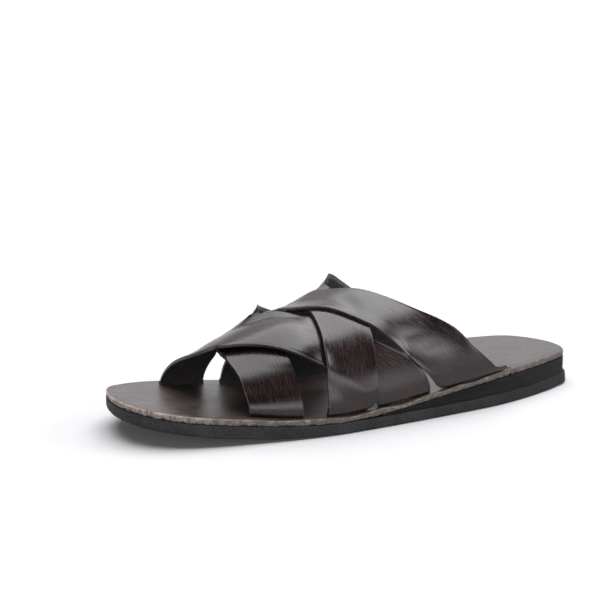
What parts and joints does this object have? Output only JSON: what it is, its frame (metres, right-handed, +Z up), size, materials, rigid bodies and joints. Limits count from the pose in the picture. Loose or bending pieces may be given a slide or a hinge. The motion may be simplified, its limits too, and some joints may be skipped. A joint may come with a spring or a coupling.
{
  "type": "woven strap sandal",
  "caption": "Flat open leather slip-on sandal for the left foot: wide woven instep straps on a slotted leather insole, tapered heel lift and thin rubber outsole.",
  "frame": {"origin": "middle of the sole's length and width, on the floor", "axes": "+X to the toe, +Y to the outer side of the left foot, +Z up"},
  "size_m": [0.285, 0.1019, 0.0721],
  "materials": {
    "outsole_rubber": "matt charcoal, stippled side",
    "lift_black": "matt black, fine lengthwise lines",
    "insole_leather": "satin dark brown top, raw tan edge",
    "strap_leather": "semi-gloss espresso brown"
  },
  "bodies": {
    "root": {"outsole": "outsole_rubber", "heel_lift": "lift_black", "insole": "insole_leather", "upper": "strap_leather"}
  },
  "joints": []
}
